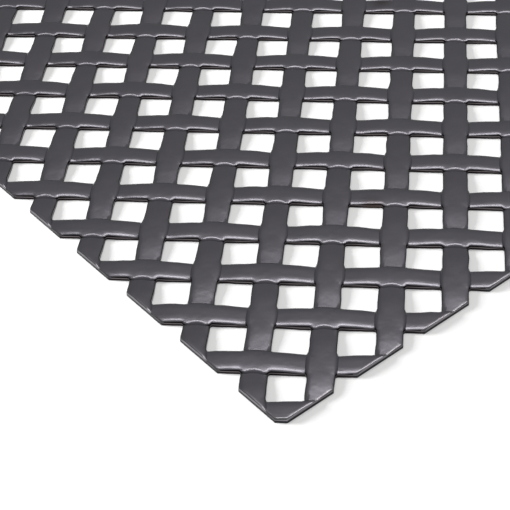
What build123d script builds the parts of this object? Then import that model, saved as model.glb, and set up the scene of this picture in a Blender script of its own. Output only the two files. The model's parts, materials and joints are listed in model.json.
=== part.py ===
"""Perforated steel sheet with a pressed basket-weave pattern, in millimetres.

One flat sheet is punched with square holes whose rows run diagonally to its edges, so the metal left between
them is a lattice of straight strips. A press then pushes each strip down where it seems to pass under the one
that crosses it, which gives the woven look on the upper face. The underside stays flat.

X runs along the sheet's long side, Y along its short side and Z up from the underside. The pattern is set out from
the front right corner, where a whole hole lies, and it repeats along X and along Y.
"""

import os
from math import ceil, sqrt

from build123d import *

# Driving dimensions
sheet_length = 500.0
sheet_width = 250.0
sheet_thickness = 2.0
hole_side = 11.5
strip_width = 8.45
press_depth = 0.7
step_run = 1.0
front_margin = 11.0
side_margin = 10.5
corner_clip = 2.6

# The pattern: strips cross the edges at half a right angle, and two rows of holes make one repeat
weave_turn = 90 / 2
repeat = (hole_side + strip_width) * sqrt(2)
columns = 2 * ceil(sheet_length / (2 * repeat)) + 3
rows = 2 * ceil(sheet_width / (2 * repeat)) + 3
neighbours = 3

# The crossing nearest to the middle of the sheet, counted in whole repeats from the corner hole
corner_x = sheet_length / 2 - side_margin
corner_y = front_margin - sheet_width / 2
middle_x = corner_x - repeat / 2 - repeat * round((corner_x - repeat / 2) / repeat)
middle_y = corner_y - repeat * round(corner_y / repeat)

# Press tool, centred on a crossing: it leaves the upper strip high there and bends it down on both sides,
# slowly at first and steepest where it meets the foot of the next strip's step
crest = (strip_width / 2, sheet_thickness)
valley = (crest[0] + hole_side - step_run, sheet_thickness - press_depth)
next_crest = (crest[0] + hole_side, sheet_thickness)
with BuildPart() as press_tool:
    with BuildSketch(Plane.XZ):
        with BuildLine():
            TangentArc(crest, valley, tangent=(1, 0))
            Polyline(
                valley,
                next_crest,
                (next_crest[0], 2 * sheet_thickness),
                (crest[0], 2 * sheet_thickness),
                crest,
            )
        make_face()
        mirror(about=Plane.YZ)
    extrude(amount=(strip_width + hole_side) / 2, both=True)

# One column of the pattern, across the sheet's full width: punched first, then pressed
with BuildPart() as column:
    with BuildSketch():
        with Locations((middle_x + repeat / 4, 0)):
            Rectangle(repeat, sheet_width)
        with Locations((middle_x + repeat / 2, middle_y), (middle_x, middle_y + repeat / 2)):
            with GridLocations(repeat, repeat, neighbours, rows):
                Rectangle(hole_side, hole_side, rotation=weave_turn, mode=Mode.SUBTRACT)
    extrude(amount=sheet_thickness)
    with Locations((middle_x, middle_y)):
        with GridLocations(repeat, repeat, neighbours, rows):
            add(press_tool.part, rotation=(0, 0, weave_turn), mode=Mode.SUBTRACT)
    with Locations((middle_x + repeat / 2, middle_y + repeat / 2)):
        with GridLocations(repeat, repeat, neighbours, rows):
            add(press_tool.part, rotation=(0, 0, weave_turn + 90), mode=Mode.SUBTRACT)

# The sheet: columns side by side, sheared to length at both ends, with its sharp corners clipped off
with BuildPart() as perforated_sheet:
    with GridLocations(repeat, sheet_width, columns, 1):
        add(column.part)
    with BuildSketch() as outline:
        Rectangle(sheet_length, sheet_width)
        chamfer(outline.vertices(), corner_clip)
    extrude(amount=sheet_thickness, mode=Mode.INTERSECT)

# Where the shears leave a loose off-cut at a corner, it falls away
sheet = perforated_sheet.solids().sort_by(SortBy.VOLUME)[-1]
sheet.label = "perforated_sheet"
os.makedirs("parts", exist_ok=True)
export_step(sheet, "parts/perforated_sheet.step")
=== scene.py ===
"""The look of the perforated steel sheet: its pressed relief, its finishes and the studio of the photograph.

Metres, in the part's own frame: X along the sheet's long side, Y along its short side, Z up from the
underside. The strips of the weave lie at 45 degrees to the edges, along U, which points towards +X +Y, and
along V, which points towards -X +Y.
"""

import json
import logging
from dataclasses import dataclass, field
from enum import Enum, IntEnum
from math import ceil, cos, radians, sin, sqrt
from typing import ClassVar

import bmesh
import bpy
import numpy as np
from mathutils import Matrix, Vector, noise

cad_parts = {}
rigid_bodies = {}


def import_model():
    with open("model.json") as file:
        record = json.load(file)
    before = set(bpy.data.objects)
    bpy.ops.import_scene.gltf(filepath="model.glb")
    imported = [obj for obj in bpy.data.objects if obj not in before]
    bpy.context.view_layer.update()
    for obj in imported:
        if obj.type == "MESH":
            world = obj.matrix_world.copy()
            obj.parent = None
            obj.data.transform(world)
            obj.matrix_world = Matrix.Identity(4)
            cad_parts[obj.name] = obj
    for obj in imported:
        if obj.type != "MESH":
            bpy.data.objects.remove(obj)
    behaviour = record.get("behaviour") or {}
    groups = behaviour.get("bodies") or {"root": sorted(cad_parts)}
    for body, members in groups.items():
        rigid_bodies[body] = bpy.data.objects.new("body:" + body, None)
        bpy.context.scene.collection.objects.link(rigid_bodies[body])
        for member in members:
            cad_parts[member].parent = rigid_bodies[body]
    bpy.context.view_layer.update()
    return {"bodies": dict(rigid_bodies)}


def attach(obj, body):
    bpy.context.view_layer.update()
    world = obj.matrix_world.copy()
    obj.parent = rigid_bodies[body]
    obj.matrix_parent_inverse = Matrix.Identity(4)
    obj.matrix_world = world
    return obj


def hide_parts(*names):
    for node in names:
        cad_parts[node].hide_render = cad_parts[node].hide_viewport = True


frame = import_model()

Flat = tuple[float, float]
Point = tuple[float, float, float]
Colour = tuple[float, float, float, float]
Tree = bpy.types.NodeTree
Socket = bpy.types.NodeSocket

LOG = logging.getLogger("perforated_sheet")
MM = 0.001

# The colour sockets of the Mix node, which has a set of sockets for each type of data
MIX_SHARE = 0
MIX_LOW = 6
MIX_HIGH = 7
MIX_RESULT = 2


class Turn(Enum):
    """The way round a hole in which each strip runs from its high end to its tucked end."""

    COUNTERCLOCKWISE = 1
    CLOCKWISE = -1


class Finish(IntEnum):
    """The finishes of the sheet, numbered as its material slots."""

    FACE = 0
    SHEARED_EDGE = 1
    HOLE_WALL = 2


def clamp(value: float) -> float:
    """Hold a value between 0 and 1."""
    return min(max(value, 0.0), 1.0)


def linear(code: str) -> Colour:
    """Turn an sRGB hex code into linear colour, by the sRGB standard's curve.

    Args:
        code: six hex digits after a hash.

    Returns:
        Red, green, blue and an alpha of 1.
    """
    parts = [int(code[i : i + 2], 16) / 255 for i in (1, 3, 5)]
    straight = [c / 12.92 if c <= 0.04045 else ((c + 0.055) / 1.055) ** 2.4 for c in parts]
    return (straight[0], straight[1], straight[2], 1.0)


def add_node(
    tree: Tree,
    kind: str,
    links: dict[str | int, Socket] | None = None,
    inputs: dict[str | int, object] | None = None,
    **settings: object,
) -> bpy.types.Node:
    """Add one shader node.

    Args:
        tree: the material's node tree.
        kind: the node's type name.
        links: input socket to the output socket that feeds it.
        inputs: input socket to its constant.
        settings: properties of the node itself.

    Returns:
        The new node.
    """
    node = tree.nodes.new(kind)
    for name, value in settings.items():
        setattr(node, name, value)
    for socket, value in (inputs or {}).items():
        node.inputs[socket].default_value = value
    for socket, source in (links or {}).items():
        tree.links.new(source, node.inputs[socket])
    return node


@dataclass(frozen=True)
class MillSteel:
    """Dark mill steel: cold rolled, punched, pressed and lightly oiled."""

    thickness: float
    face: str = "#7B7980"
    # Near-black painted shade, for the hole walls and the steep faces
    wall_shade: str = "#221E1F"
    # The burnished line in a hole's wall, lightened with a painted reflection
    burnish_sheen: str = "#6A6467"
    sheared: str = "#807E83"
    # The broken lower band of a sheared edge, darkened with painted shade
    broken_and_shade: str = "#2B292C"
    rust: str = "#3B2B20"
    roughness: float = 0.31
    # Ripples that the press leaves, and the grain of the rolls. Real grain is a few hundredths of a
    # millimetre wide, too fine to show, so it is drawn coarser
    ripple: float = 3.0 * MM
    ripple_depth: float = 0.07 * MM
    grain: float = 0.6 * MM
    grain_depth: float = 0.004 * MM
    relief_detail: float = 2.0
    # Clouds in the oil film, and how far they lighten or darken the steel
    film: float = 12.5 * MM
    film_share: float = 0.1
    film_detail: float = 3.0
    # Upward share of the surface's normal at which painted shade covers the steel fully, and at which none
    # is left
    steep: float = 0.6
    level: float = 0.9
    # Shares of the thickness: the bright line in a hole's wall, lightened with a painted reflection, the
    # height at which a sheared edge broke off, below which painted shade darkens it, and how softly each
    # ends
    burnish_low: float = 0.42
    burnish_high: float = 0.5
    burnish_fade: float = 0.08
    break_height: float = 0.5
    break_fade: float = 0.1
    # Rust: where its blooms lie along and across the sheet, their reach and their strength in the middle
    blooms: tuple[Flat, ...] = ((195.0 * MM, -38.2 * MM), (104.6 * MM, 50.3 * MM))
    bloom_radius: float = 6.0 * MM
    bloom_share: float = 0.5

    def sheet_face(self) -> bpy.types.Material:
        """Build the steel of the faces.

        Returns:
            The material.
        """
        # Cold rolling gives the eye broad satin highlights and the oil a clouded and faintly violet grey,
        # and painted shade, in the near-black wall colour, darkens the steep steps of the pattern and the
        # rolled edges
        steel, shader, place = self.bare("cold_rolled_steel_pressed_and_oiled")
        tree = steel.node_tree
        lie = add_node(tree, "ShaderNodeNewGeometry")
        up = add_node(tree, "ShaderNodeSeparateXYZ", {"Vector": lie.outputs["Normal"]})
        # The share of the face's own colour, which gives way to the painted shade where the surface is steep
        unshaded_share = add_node(
            tree,
            "ShaderNodeMapRange",
            {"Value": up.outputs["Z"]},
            {"From Min": self.steep, "From Max": self.level},
            interpolation_type="SMOOTHSTEP",
        )
        tilt_shaded = add_node(
            tree,
            "ShaderNodeMix",
            {MIX_SHARE: unshaded_share.outputs["Result"], MIX_HIGH: self.mottled(tree, place)},
            {MIX_LOW: linear(self.wall_shade)},
            data_type="RGBA",
        )
        colour = self.rusted(tree, place, tilt_shaded.outputs[MIX_RESULT])
        tree.links.new(colour, shader.inputs["Base Color"])
        return steel

    def hole_wall(self) -> bpy.types.Material:
        """Build the steel of the hole walls.

        Returns:
            The material.
        """
        # A punched wall is painted nearly black as painted shade, but for one brighter line where the punch
        # slid along the metal before it broke through, which is lightened with a painted reflection
        steel, shader, place = self.bare("punched_steel_wall")
        stops = (
            (0.0, self.wall_shade),
            (self.burnish_low - self.burnish_fade, self.wall_shade),
            (self.burnish_low, self.burnish_sheen),
            (self.burnish_high, self.burnish_sheen),
            (self.burnish_high + self.burnish_fade, self.wall_shade),
        )
        colour = self.rusted(steel.node_tree, place, self.by_height(steel.node_tree, place, stops))
        steel.node_tree.links.new(colour, shader.inputs["Base Color"])
        return steel

    def sheared_edge(self) -> bpy.types.Material:
        """Build the steel of the sheared edges.

        Returns:
            The material.
        """
        # Shearing leaves a bright band above, where the blade cut in, and a dull one below, where the metal
        # broke off;
        # the lower band is also darkened with painted shade
        steel, shader, place = self.bare("sheared_steel_edge")
        stops = (
            (0.0, self.broken_and_shade),
            (self.break_height - self.break_fade, self.broken_and_shade),
            (self.break_height + self.break_fade, self.sheared),
        )
        steel.node_tree.links.new(self.by_height(steel.node_tree, place, stops), shader.inputs["Base Color"])
        return steel

    def by_height(self, tree: Tree, place: Socket, stops: tuple[tuple[float, str], ...]) -> Socket:
        """Colour the sheet by height above its underside.

        Args:
            tree: the material's node tree.
            place: the place on the sheet.
            stops: share of the thickness and sRGB hex code of each colour, from the underside up. The
                first is at 0, and the last goes on to the upper face.

        Returns:
            The colour socket.
        """
        where = add_node(tree, "ShaderNodeSeparateXYZ", {"Vector": place})
        level = add_node(
            tree, "ShaderNodeMath", {0: where.outputs["Z"]}, {1: 1 / self.thickness}, operation="MULTIPLY"
        )
        bands = add_node(tree, "ShaderNodeValToRGB", {"Fac": level.outputs["Value"]})
        ramp = bands.color_ramp.elements
        ramp[1].color = linear(stops[-1][1])
        for at, code in stops:
            stop = ramp[0] if at == 0.0 else ramp.new(at)
            stop.color = linear(code)
        return bands.outputs["Color"]

    def bare(self, name: str) -> tuple[bpy.types.Material, bpy.types.Node, Socket]:
        """Start a steel material with the fine relief that breaks up its reflections.

        Args:
            name: the material's name.

        Returns:
            The material, its shader, and the socket that gives the place on the sheet.
        """
        steel = bpy.data.materials.new(name)
        steel.use_nodes = True
        tree = steel.node_tree
        shader = tree.nodes["Principled BSDF"]
        shader.inputs["Metallic"].default_value = 1.0
        shader.inputs["Roughness"].default_value = self.roughness
        place = add_node(tree, "ShaderNodeTexCoord").outputs["Object"]
        under: dict[str | int, Socket] = {}
        for size, depth in ((self.ripple, self.ripple_depth), (self.grain, self.grain_depth)):
            inputs = {"Scale": 1 / size, "Detail": self.relief_detail}
            pattern = add_node(tree, "ShaderNodeTexNoise", {"Vector": place}, inputs)
            links = {"Height": pattern.outputs["Fac"], **under}
            relief = add_node(tree, "ShaderNodeBump", links, {"Strength": 1.0, "Distance": depth})
            under = {"Normal": relief.outputs["Normal"]}
        tree.links.new(under["Normal"], shader.inputs["Normal"])
        return steel, shader, place

    def mottled(self, tree: Tree, place: Socket) -> Socket:
        """Vary the colour of the face slightly, as an oil film does.

        Args:
            tree: the material's node tree.
            place: the place on the sheet.

        Returns:
            The colour socket.
        """
        inputs = {"Scale": 1 / self.film, "Detail": self.film_detail}
        cloud = add_node(tree, "ShaderNodeTexNoise", {"Vector": place}, inputs)
        limits = {"To Min": 1 - self.film_share, "To Max": 1 + self.film_share}
        tone = add_node(tree, "ShaderNodeMapRange", {"Value": cloud.outputs["Fac"]}, limits)
        clouded = add_node(
            tree,
            "ShaderNodeMix",
            {MIX_HIGH: tone.outputs["Result"]},
            {MIX_SHARE: 1.0, MIX_LOW: linear(self.face)},
            data_type="RGBA",
            blend_type="MULTIPLY",
        )
        return clouded.outputs[MIX_RESULT]

    def rusted(self, tree: Tree, place: Socket, colour: Socket) -> Socket:
        """Lay the few small blooms of rust over a colour.

        Args:
            tree: the material's node tree.
            place: the place on the sheet.
            colour: the colour without rust.

        Returns:
            The colour socket.
        """
        for x, y in self.blooms:
            over = add_node(
                tree,
                "ShaderNodeMix",
                {MIX_SHARE: self.bloom(tree, place, x, y), MIX_LOW: colour},
                {MIX_HIGH: linear(self.rust)},
                data_type="RGBA",
            )
            colour = over.outputs[MIX_RESULT]
        return colour

    def bloom(self, tree: Tree, place: Socket, x: float, y: float) -> Socket:
        """Mark a small patch of rust around one point.

        Args:
            tree: the material's node tree.
            place: the place on the sheet.
            x: the patch's middle along the sheet.
            y: the patch's middle across the sheet.

        Returns:
            The patch's strength, strongest in its middle.
        """
        middle = (x, y, self.thickness / 2)
        reach = add_node(tree, "ShaderNodeVectorMath", {0: place}, {1: middle}, operation="DISTANCE")
        patch = add_node(
            tree,
            "ShaderNodeMapRange",
            {"Value": reach.outputs["Value"]},
            {"From Max": self.bloom_radius, "To Min": self.bloom_share, "To Max": 0.0},
            interpolation_type="SMOOTHSTEP",
        )
        return patch.outputs["Result"]


@dataclass(frozen=True)
class Weave:
    """Sizes of the sheet and of its punched and pressed pattern."""

    # The sheet, its pattern and the place of its corner hole, as in the part's source
    length: float = 500.0 * MM
    width: float = 250.0 * MM
    thickness: float = 2.0 * MM
    hole: float = 11.5 * MM
    strip: float = 8.45 * MM
    press_depth: float = 0.7 * MM
    front_margin: float = 11.0 * MM
    side_margin: float = 10.5 * MM
    corner_clip: float = 2.6 * MM
    # The step up to the strip on top: its run on the strip's middle line and at the strip's edges, and how
    # far past the hole's edge its crest stands
    step_run: float = 1.6 * MM
    corner_run: float = 0.6 * MM
    step_inset: float = 0.95 * MM
    # An arched step bows out towards its ends, up to a reach. A straight one is shifted out a little, and
    # leans out by a share of what its run loses
    step_bow: float = 2.0 * MM
    step_reach: float = 1.2 * MM
    step_shift: float = 0.12 * MM
    step_lean: float = 0.72
    # How a strip sags from its high end: how early it starts, and how much it eases off before the foot
    sag_start: float = 0.5
    sag_ease: float = 1.5
    # The hole's corner radii at the upper face and at the underside
    upper_corner: float = 0.85 * MM
    lower_corner: float = 0.7 * MM
    # The rolled edges of the holes, the rounded backs of the strips and the rounded edges of the cuts
    roll_width: float = 1.6 * MM
    roll_depth: float = 0.32 * MM
    crown_width: float = 2.6 * MM
    crown_depth: float = 0.22 * MM
    sheared_width: float = 0.6 * MM
    sheared_depth: float = 0.35 * MM
    # The uneven edge that a worn punch leaves: how far it strays, over what length, and the share that sinks
    ragged: float = 0.3 * MM
    ragged_length: float = 5.0 * MM
    ragged_sink: float = 0.2

    @property
    def pitch(self) -> float:
        """Distance between neighbouring holes along a strip."""
        return self.hole + self.strip

    def edge(self, inward: float) -> float:
        """Share of the way from a strip's middle line to its edge, at a distance in from the edge."""
        return clamp(1 - 2 * inward / self.strip)

    def crown(self, inward: float) -> float:
        """How far a strip's rounded back lies below its middle, at a distance in from the strip's edge."""
        return self.crown_depth * clamp(1 - inward / self.crown_width) ** 2

    def sag(self, fall: float) -> float:
        """How far a strip is pressed down, at a share of the way from its high end to the step's foot."""
        gain = 1 - self.sag_start + self.sag_ease
        return self.press_depth * fall**2 * (self.sag_start + gain * fall - self.sag_ease * fall**2)

    def step(self, climb: float, inward: float, arched: bool) -> float:
        """Find where the step up to the strip on top runs.

        Args:
            climb: 0 at the step's foot, 1 at its crest.
            inward: distance from the hole's edge towards the strip's middle line.
            arched: whether the step bows out towards the holes on both sides, or runs straight.

        Returns:
            Distance along the strip from the hole's middle.
        """
        edge = self.edge(inward)
        run = self.step_run + (self.corner_run - self.step_run) * edge**2
        if arched:
            bow = min(self.step_bow * edge**2, self.step_reach)
        else:
            bow = self.step_shift + self.step_lean * (self.step_run - run)
        return self.hole / 2 + self.step_inset - bow - (1 - climb) * run

    def height(self, along: float, inward: float, arched: bool, arched_before: bool) -> float:
        """Find the height of the upper face on a strip and on the two crossings at its ends.

        Args:
            along: distance from the hole's middle towards the strip's tucked end.
            inward: distance from the hole's edge towards the strip's middle line.
            arched: whether the step at the strip's tucked end is arched.
            arched_before: the same for the strip that tucks under this one's high end.

        Returns:
            Height above the underside.
        """
        half = self.hole / 2
        if along < -half:
            along, inward, arched = half + inward, -half - along, arched_before
        foot, crest = self.step(0.0, inward, arched), self.step(1.0, inward, arched)
        over = self.thickness - self.crown(along - half) * self.edge(inward)
        if along >= crest:
            return over
        fall = clamp((along + half) / (foot + half))
        tucked = self.thickness - self.crown(inward) - self.sag(fall)
        if along <= foot:
            return tucked
        climb = (along - foot) / (crest - foot)
        return over + (tucked - over) * (1 - climb) ** 2


@dataclass(frozen=True)
class Line:
    """A line of the mesh across one strip. Places are (along, outward) from the hole's middle."""

    # Its point on the hole's edge, the direction away from the hole there, the place along the strip at
    # which it meets the middle line and, for a line that runs on the step, how far up the step that is
    start: Flat
    out: Flat
    end: float
    climb: float | None = None


@dataclass
class HoleCell:
    """One hole with the metal around it, out to the middle lines of its four strips."""

    # Lines at a strip's high end: degrees of turn into the hole's corner and how far past the hole's edge
    # each ends, after the first, which ends on the middle of the crossing
    HIGH_TURNS: ClassVar[tuple[float, ...]] = (36, 18, 0)
    HIGH_ENDS: ClassVar[tuple[float, ...]] = (1.8 * MM, -0.5 * MM)
    # Lines between the corners: places along the strip at the hole's edge and on the middle line
    MIDDLE_STARTS: ClassVar[tuple[float, ...]] = (-2.2 * MM, 0.5 * MM, 2.8 * MM)
    MIDDLE_ENDS: ClassVar[tuple[float, ...]] = (-2.2 * MM, 0.6 * MM, 3.0 * MM)
    # Lines on the step at the tucked end: degrees of turn into the hole's corner and share of the climb
    STEP_TURNS: ClassVar[tuple[float, ...]] = (0, 8, 18, 28, 40)
    STEP_CLIMBS: ClassVar[tuple[float, ...]] = (0.0, 0.25, 0.5, 0.75, 1.0)
    # Rings around the hole after its lower edge: degrees round the rolled edge, then shares of the way from
    # there to the middle line. The first two bands of faces, the wall and the steepest part of the rolled
    # edge, take the hole wall's near-black painted shade
    ROLL_TURNS: ClassVar[tuple[float, ...]] = (90, 60, 30, 0)
    BACK_SHARES: ClassVar[tuple[float, ...]] = (0.5, 1.0)
    WALL_BANDS: ClassVar[int] = 2
    SIDES: ClassVar[int] = 4
    LINES: ClassVar[int] = len(HIGH_TURNS) + len(MIDDLE_STARTS) + len(STEP_TURNS)
    RING: ClassVar[int] = SIDES * LINES
    # The strip that runs towards +V, counted the way the hole turns
    ARCHED: ClassVar[dict[Turn, int]] = {Turn.COUNTERCLOCKWISE: 3, Turn.CLOCKWISE: 2}

    weave: Weave
    turn: Turn
    points: list[Point] = field(default_factory=list)
    faces: list[list[int]] = field(default_factory=list)

    def build(self) -> None:
        """Fill in the points and faces, as rings from the hole's lower edge out to the middle lines."""
        outer = self.weave.pitch / 2
        rings = self.rings()
        corners = [self.turned(-outer, outer, 0.0, quarter) for quarter in range(self.SIDES)]
        self.points = [point for ring in rings for point in ring] + corners
        faces = self.bands(len(rings)) + self.underside(len(rings) * self.RING)
        # A mirrored cell has its faces turned round, so that they still look out of the metal
        self.faces = [face[::-1] for face in faces] if self.turn is Turn.CLOCKWISE else faces

    def arched(self, quarter: int) -> bool:
        """Tell whether a strip tucks under the next one with an arched step, as those towards +V do."""
        return quarter % self.SIDES == self.ARCHED[self.turn]

    def rings(self) -> list[list[Point]]:
        """Set out the points around the hole.

        Returns:
            The rings, from the hole's lower edge to the middle lines.
        """
        w = self.weave
        rings: list[list[Point]] = [[] for _ in range(1 + len(self.ROLL_TURNS) + len(self.BACK_SHARES))]
        for quarter in range(self.SIDES):
            arched, before = self.arched(quarter), self.arched(quarter - 1)
            lower = self.lines(w.lower_corner, arched)
            upper = self.lines(w.upper_corner, arched)
            for below, above in zip(lower, upper):
                profile = [(*below.start, 0.0), *self.profile(above, arched, before)]
                for ring, point in zip(rings, profile):
                    ring.append(self.turned(*point, quarter))
        return rings

    def lines(self, radius: float, arched: bool) -> list[Line]:
        """Lay out the lines that cross one strip, from its high end to its tucked end.

        Args:
            radius: radius of the hole's corners.
            arched: whether the step at the tucked end is arched.

        Returns:
            The lines, in order.
        """
        w = self.weave
        half, middle = w.hole / 2, w.strip / 2
        lines = []
        for turn, past in zip(self.HIGH_TURNS, (middle, *self.HIGH_ENDS)):
            lines.append(Line(*self.on_corner(-1, turn, radius), -half - past))
        for start, end in zip(self.MIDDLE_STARTS, self.MIDDLE_ENDS):
            lines.append(Line((start, half), (0.0, 1.0), end))
        for turn, climb in zip(self.STEP_TURNS, self.STEP_CLIMBS):
            lines.append(Line(*self.on_corner(1, turn, radius), w.step(climb, middle, arched), climb))
        return lines

    def on_corner(self, side: int, degrees: float, radius: float) -> tuple[Flat, Flat]:
        """Find a point on the hole's rounded corner.

        Args:
            side: -1 for the corner at the strip's high end, 1 for the one at its tucked end.
            degrees: turn from the strip's edge into the corner.
            radius: the corner's radius.

        Returns:
            The point and the direction away from the hole there.
        """
        middle = self.weave.hole / 2 - radius
        out = (side * sin(radians(degrees)), cos(radians(degrees)))
        return (side * middle + radius * out[0], middle + radius * out[1]), out

    def profile(self, line: Line, arched: bool, arched_before: bool) -> list[Point]:
        """Follow one line from the top of the hole's wall over the rolled edge to the strip's middle line.

        Args:
            line: the line, at the upper face.
            arched: whether the step at the strip's tucked end is arched.
            arched_before: the same for the strip that tucks under this one's high end.

        Returns:
            Points as distance along the strip, distance from the hole's middle, and height.
        """
        w = self.weave
        half = w.hole / 2
        points = []
        for degrees in self.ROLL_TURNS:
            off = w.roll_width * (1 - sin(radians(degrees)))
            x, y = line.start[0] + line.out[0] * off, line.start[1] + line.out[1] * off
            if line.climb is not None:
                x += (w.step(line.climb, y - half, arched) - x) * off / w.roll_width
            drop = w.roll_depth * (1 - cos(radians(degrees)))
            points.append((x, y, w.height(x, off, arched, arched_before) - drop))
        rolled_x = line.start[0] + line.out[0] * w.roll_width
        rolled_y = line.start[1] + line.out[1] * w.roll_width
        for share in self.BACK_SHARES:
            x = rolled_x + (line.end - rolled_x) * share
            y = rolled_y + (w.pitch / 2 - rolled_y) * share
            if line.climb is not None:
                x = w.step(line.climb, y - half, arched)
            points.append((x, y, w.height(x, y - half, arched, arched_before)))
        return points

    def bands(self, rings: int) -> list[list[int]]:
        """Join neighbouring rings with faces.

        Args:
            rings: how many rings there are.

        Returns:
            The faces, from the hole's wall outwards.
        """
        faces = []
        for ring in range(rings - 1):
            inner, outer = ring * self.RING, (ring + 1) * self.RING
            for i in range(self.RING):
                j = (i + 1) % self.RING
                faces.append([inner + i, inner + j, outer + j, outer + i])
        return faces

    def underside(self, corner: int) -> list[list[int]]:
        """Close the flat underside, with one face to each strip.

        Args:
            corner: number of the first of the cell's four corner points.

        Returns:
            The faces.
        """
        faces = []
        for quarter in range(self.SIDES):
            edge = [(quarter * self.LINES + i) % self.RING for i in range(self.LINES + 1)]
            faces.append([*edge[::-1], corner + quarter, corner + (quarter + 1) % self.SIDES])
        return faces

    def turned(self, x: float, y: float, z: float, quarter: int) -> Point:
        """Place a point of the first strip on one of the four.

        Args:
            x: distance along the strip, towards its tucked end.
            y: distance from the hole's middle.
            z: height.
            quarter: which strip, counted the way the hole turns.

        Returns:
            The point along U, along V and up.
        """
        u, v = -x, y
        for _ in range(quarter):
            u, v = -v, u
        if self.turn is Turn.CLOCKWISE:
            u, v = v, u
        return (u, v, z)


@dataclass
class PerforatedSheet:
    """The whole sheet: a cell for each hole, sheared to its four sides and clipped at its corners."""

    # Edges that bend more than this stay sharp
    SHARP_ANGLE: ClassVar[float] = radians(33)
    # Rows and columns of holes set out past the sheet's edges, so that none is missed there
    SPARE_ROWS: ClassVar[int] = 2
    # How much of the punch's uneven edge each ring of a cell takes, from the hole's lower edge outwards
    RAGGED_SHARES: ClassVar[tuple[float, ...]] = (1.0, 1.0, 0.9, 0.6, 0.3)
    # Blender's noise starts from the clock unless it is seeded, and every run has to give the same edges
    RAGGED_SEED: ClassVar[int] = 7
    # Lines along a sheared edge that carry its rounding, in widths of the rounding from the cut
    EDGE_LINES: ClassVar[tuple[float, ...]] = (1.6, 1.0, 0.5, 0.13)
    # Tolerances: for joining points, for a point on a cutting plane and for an edge left open by a cut
    WELD: ClassVar[float] = 0.01 * MM
    ON_PLANE: ClassVar[float] = 0.0001 * MM
    ON_CUT: ClassVar[float] = 0.002 * MM

    weave: Weave
    steel: MillSteel

    def build(self) -> bpy.types.Object:
        """Make the sheet and dress it.

        Returns:
            The finished mesh object.
        """
        mesh = bpy.data.meshes.new("woven_pattern_sheet")
        points, faces, finishes = self.cells()
        mesh.from_pydata(points, [], faces)
        mesh.polygons.foreach_set("material_index", finishes)
        mesh.shade_smooth()
        self.trim(mesh)
        mesh.set_sharp_from_angle(angle=self.SHARP_ANGLE)
        # In the order of Finish
        for steel in (self.steel.sheet_face(), self.steel.sheared_edge(), self.steel.hole_wall()):
            mesh.materials.append(steel)
        sheet = bpy.data.objects.new("woven_pattern_sheet", mesh)
        bpy.context.scene.collection.objects.link(sheet)
        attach(sheet, next(iter(frame["bodies"])))
        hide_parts("perforated_sheet")
        return sheet

    def template(self, turn: Turn) -> tuple[np.ndarray, list[list[int]]]:
        """Build the cell of one kind of hole, around the origin.

        Args:
            turn: the way round the hole in which its strips run.

        Returns:
            Its points along X, Y and Z, and its faces.
        """
        cell = HoleCell(self.weave, turn)
        cell.build()
        u, v, z = np.array(cell.points).T
        return np.stack([(u - v) / sqrt(2), (u + v) / sqrt(2), z], axis=1), cell.faces

    def cells(self) -> tuple[list[list[float]], list[list[int]], list[int]]:
        """Set out a cell on every hole that reaches into the sheet.

        Returns:
            Points and faces, with the points on shared lines still doubled, and the finish of each face.
        """
        w = self.weave
        row = w.pitch / sqrt(2)
        noise.seed_set(self.RAGGED_SEED)
        templates = {turn: self.template(turn) for turn in Turn}
        walls = HoleCell.WALL_BANDS * HoleCell.RING
        corner_x, corner_y = w.length / 2 - w.side_margin, w.front_margin - w.width / 2
        points: list[list[float]] = []
        faces: list[list[int]] = []
        finishes: list[int] = []
        for j in range(-self.SPARE_ROWS, ceil(w.width / row) + self.SPARE_ROWS):
            shape, sides = templates[Turn.COUNTERCLOCKWISE if j % 2 else Turn.CLOCKWISE]
            for i in range(-self.SPARE_ROWS, ceil(w.length / row) + self.SPARE_ROWS):
                x, y = corner_x - i * row, corner_y + j * row
                if (i + j) % 2 or abs(x) - row >= w.length / 2 or abs(y) - row >= w.width / 2:
                    continue
                start = len(points)
                points.extend(self.roughen(shape + (x, y, 0.0)))
                faces.extend([[start + k for k in side] for side in sides])
                finishes.extend([Finish.HOLE_WALL] * walls + [Finish.FACE] * (len(sides) - walls))
        return points, faces, finishes

    def roughen(self, shape: np.ndarray) -> list[list[float]]:
        """Give one hole the uneven edge that a worn punch leaves.

        Args:
            shape: the hole's points, ring by ring from its lower edge outwards.

        Returns:
            The points, with those near the hole moved a little. The lower edge stays on the underside.
        """
        w = self.weave
        for ring, share in enumerate(self.RAGGED_SHARES):
            for point in shape[ring * HoleCell.RING : (ring + 1) * HoleCell.RING]:
                stray = noise.noise_vector(Vector((point[0], point[1], 0.0)) / w.ragged_length)
                point[:2] += np.array(stray[:2]) * share * w.ragged
                if ring:
                    point[2] -= w.ragged_sink * share * w.ragged * (1 + stray[2])
        return shape.tolist()

    def trim(self, mesh: bpy.types.Mesh) -> None:
        """Join the cells, shear the sheet to its outline and round the upper edges of the cuts.

        Args:
            mesh: the sheet's mesh, changed in place.
        """
        w = self.weave
        body = bmesh.new()
        body.from_mesh(mesh)
        bmesh.ops.remove_doubles(body, verts=body.verts, dist=self.WELD)
        shears = self.shears()
        for out, reach in shears:
            for share in self.EDGE_LINES:
                self.split(body, out * (reach - share * w.sheared_width), out)
            self.cut(body, out * reach, out)
        for vert in body.verts:
            inset = max(min(reach - out.dot(vert.co) for out, reach in shears), 0.0)
            if inset < w.sheared_width and vert.co.z > w.sheared_depth:
                vert.co.z -= w.sheared_depth * (1 - sqrt(1 - (1 - inset / w.sheared_width) ** 2))
                for face in vert.link_faces:
                    face.material_index = Finish.SHEARED_EDGE
        bmesh.ops.recalc_face_normals(body, faces=body.faces)
        body.to_mesh(mesh)
        body.free()

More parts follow.
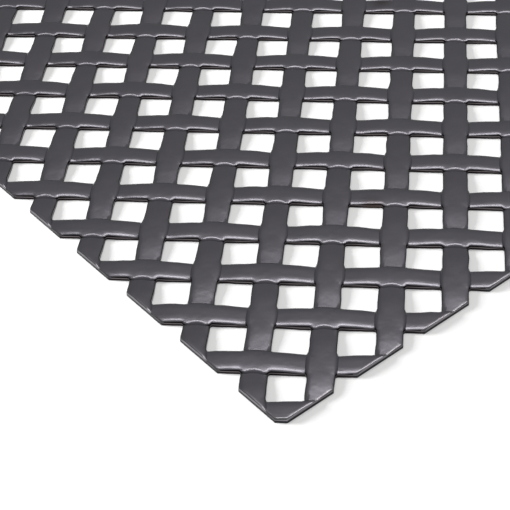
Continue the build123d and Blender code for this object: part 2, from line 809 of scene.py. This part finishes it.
    def shears(self) -> list[tuple[Vector, float]]:
        """List the straight cuts that trim the sheet: its four sides, then its four clipped corners.

        Returns:
            For each cut the outward direction and its distance from the sheet's middle.
        """
        w = self.weave
        clip = (w.length / 2 + w.width / 2 - w.corner_clip) / sqrt(2)
        cuts = [(Vector((x, 0, 0)), w.length / 2) for x in (1, -1)]
        cuts += [(Vector((0, y, 0)), w.width / 2) for y in (1, -1)]
        cuts += [(Vector((x, y, 0)) / sqrt(2), clip) for x in (1, -1) for y in (1, -1)]
        return cuts

    def split(self, body: bmesh.types.BMesh, point: Vector, normal: Vector, clear: bool = False) -> None:
        """Draw new edges where a plane crosses the sheet.

        Args:
            body: the sheet.
            point: a point on the plane.
            normal: the plane's direction.
            clear: whether what lies beyond the plane falls away.
        """
        bmesh.ops.bisect_plane(
            body,
            geom=[*body.verts, *body.edges, *body.faces],
            dist=self.ON_PLANE,
            plane_co=point,
            plane_no=normal,
            clear_outer=clear,
        )

    def cut(self, body: bmesh.types.BMesh, point: Vector, normal: Vector) -> None:
        """Cut the sheet with a plane and close the cut.

        Args:
            body: the sheet.
            point: a point on the plane.
            normal: the side that falls away.
        """
        self.split(body, point, normal, clear=True)
        edges = [
            edge
            for edge in body.edges
            if edge.is_boundary and all(abs((v.co - point).dot(normal)) < self.ON_CUT for v in edge.verts)
        ]
        filled = bmesh.ops.triangle_fill(body, edges=edges, normal=normal, use_dissolve=True)
        for face in filled["geom"]:
            if isinstance(face, bmesh.types.BMFace):
                face.smooth = False
                face.material_index = Finish.SHEARED_EDGE


@dataclass(frozen=True)
class SoftLamp:
    """One soft rectangular lamp: its face's width and height, its watts, its place and what it faces."""

    name: str
    size: Flat
    power: float
    at: Point
    aim: Point
    tint: str = "#FFFFFF"
    # Whether the steel mirrors the lamp itself
    mirrored: bool = True

    def hang(self) -> None:
        """Hang the lamp in the scene."""
        at, aim = Vector(self.at), Vector(self.aim)
        lamp = bpy.data.lights.new(self.name, "AREA")
        lamp.shape = "RECTANGLE"
        lamp.size, lamp.size_y = self.size
        lamp.energy = self.power
        lamp.color = linear(self.tint)[:3]
        box = bpy.data.objects.new(self.name, lamp)
        box.matrix_world = Matrix.Translation(at) @ (aim - at).to_track_quat("-Z", "Y").to_matrix().to_4x4()
        box.visible_glossy = self.mirrored
        bpy.context.scene.collection.objects.link(box)


@dataclass(frozen=True)
class PhotoCamera:
    """The photograph's camera, fitted to its lattice of holes. It stands over the sheet's near corner."""

    at: Point = (0.489715, -0.311676, 0.33344)
    view: Point = (-0.59970, 0.45360, -0.65928)
    right: Point = (0.63502, 0.77107, -0.04712)
    # Millimetres, as a camera counts them
    lens: float = 109.24
    sensor: float = 36.0
    nearest: float = 0.01
    farthest: float = 20.0

    def place(self) -> None:
        """Stand the camera in the scene and look through it."""
        lens = bpy.data.cameras.new("photo_camera")
        lens.sensor_width = self.sensor
        lens.lens = self.lens
        lens.clip_start, lens.clip_end = self.nearest, self.farthest
        camera = bpy.data.objects.new("photo_camera", lens)
        view = Vector(self.view).normalized()
        right = Vector(self.right)
        right = (right - view * right.dot(view)).normalized()
        turn = Matrix((right, right.cross(view), -view)).transposed()
        camera.matrix_world = Matrix.Translation(self.at) @ turn.to_4x4()
        bpy.context.scene.collection.objects.link(camera)
        bpy.context.scene.camera = camera


@dataclass(frozen=True)
class Studio:
    """Pale paper floor, soft light and the photograph's camera."""

    paper: str = "#F4F4F4"
    paper_roughness: float = 0.9
    # Share of plain white in what the camera and the steel see of the floor
    paper_glow: float = 0.3
    floor_size: float = 6.0
    floor_drop: float = 0.05 * MM
    sky: float = 0.28
    # High behind the sheet: it draws the bright rims
    back_strip: SoftLamp = SoftLamp(
        name="back_strip",
        size=(3.2, 0.6),
        power=40.0,
        at=(-0.12, 1.14, 2.83),
        aim=(0.60, 0.53, 0.0),
        tint="#FFFDFB",
    )
    # Low on the left: it throws the shadows, and the steel doesn't mirror it
    left_key: SoftLamp = SoftLamp(
        name="left_key",
        size=(1.0, 1.0),
        power=150.0,
        at=(-1.36, -1.41, 0.54),
        aim=(0.15, -0.05, 0.0),
        mirrored=False,
    )
    camera: PhotoCamera = PhotoCamera()

    def build(self) -> None:
        """Put up the floor, the lights and the camera."""
        self.lay_floor()
        self.dim_room()
        self.back_strip.hang()
        self.left_key.hang()
        self.camera.place()

    def lay_floor(self) -> None:
        """Lay the floor just under the sheet."""
        half = self.floor_size / 2
        corners = [(-half, -half, 0), (half, -half, 0), (half, half, 0), (-half, half, 0)]
        mesh = bpy.data.meshes.new("floor")
        mesh.from_pydata(corners, [], [(0, 1, 2, 3)])
        mesh.materials.append(self.white_paper())
        floor = bpy.data.objects.new("floor", mesh)
        floor.location.z = -self.floor_drop
        bpy.context.scene.collection.objects.link(floor)

    def white_paper(self) -> bpy.types.Material:
        """Build the paper of the floor.

        Returns:
            The material.
        """
        # Matt paper gives the eye an even white without gloss, on which the sheet's shadow stays soft
        paper = bpy.data.materials.new("white_paper_floor")
        paper.use_nodes = True
        tree = paper.node_tree
        shader = tree.nodes["Principled BSDF"]
        shader.inputs["Base Color"].default_value = linear(self.paper)
        shader.inputs["Roughness"].default_value = self.paper_roughness
        shader.inputs["Specular IOR Level"].default_value = 0.0
        path = add_node(tree, "ShaderNodeLightPath")
        seen = add_node(
            tree,
            "ShaderNodeMath",
            {0: path.outputs["Is Camera Ray"], 1: path.outputs["Is Glossy Ray"]},
            operation="MAXIMUM",
        )
        share = add_node(
            tree, "ShaderNodeMath", {0: seen.outputs["Value"]}, {1: self.paper_glow}, operation="MULTIPLY"
        )
        glow = add_node(tree, "ShaderNodeEmission", inputs={"Strength": 1.0})
        mixed = add_node(
            tree,
            "ShaderNodeMixShader",
            {0: share.outputs["Value"], 1: shader.outputs["BSDF"], 2: glow.outputs["Emission"]},
        )
        tree.links.new(mixed.outputs["Shader"], tree.nodes["Material Output"].inputs["Surface"])
        return paper

    def dim_room(self) -> None:
        """Fill the room with even, dim light."""
        world = bpy.data.worlds.new("studio")
        bpy.context.scene.world = world
        world.use_nodes = True
        background = world.node_tree.nodes["Background"]
        background.inputs["Color"].default_value = linear("#FFFFFF")
        background.inputs["Strength"].default_value = self.sky


def main() -> None:
    """Build the sheet and the studio."""
    logging.basicConfig(level=logging.INFO, format="%(message)s")
    bpy.context.scene.view_settings.view_transform = "Standard"
    weave = Weave()
    sheet = PerforatedSheet(weave, MillSteel(weave.thickness)).build()
    triangles = sum(len(face.vertices) - 2 for face in sheet.data.polygons)
    LOG.info("%s: %d points, %d triangles", sheet.name, len(sheet.data.vertices), triangles)
    Studio().build()


if __name__ == "__main__":
    main()
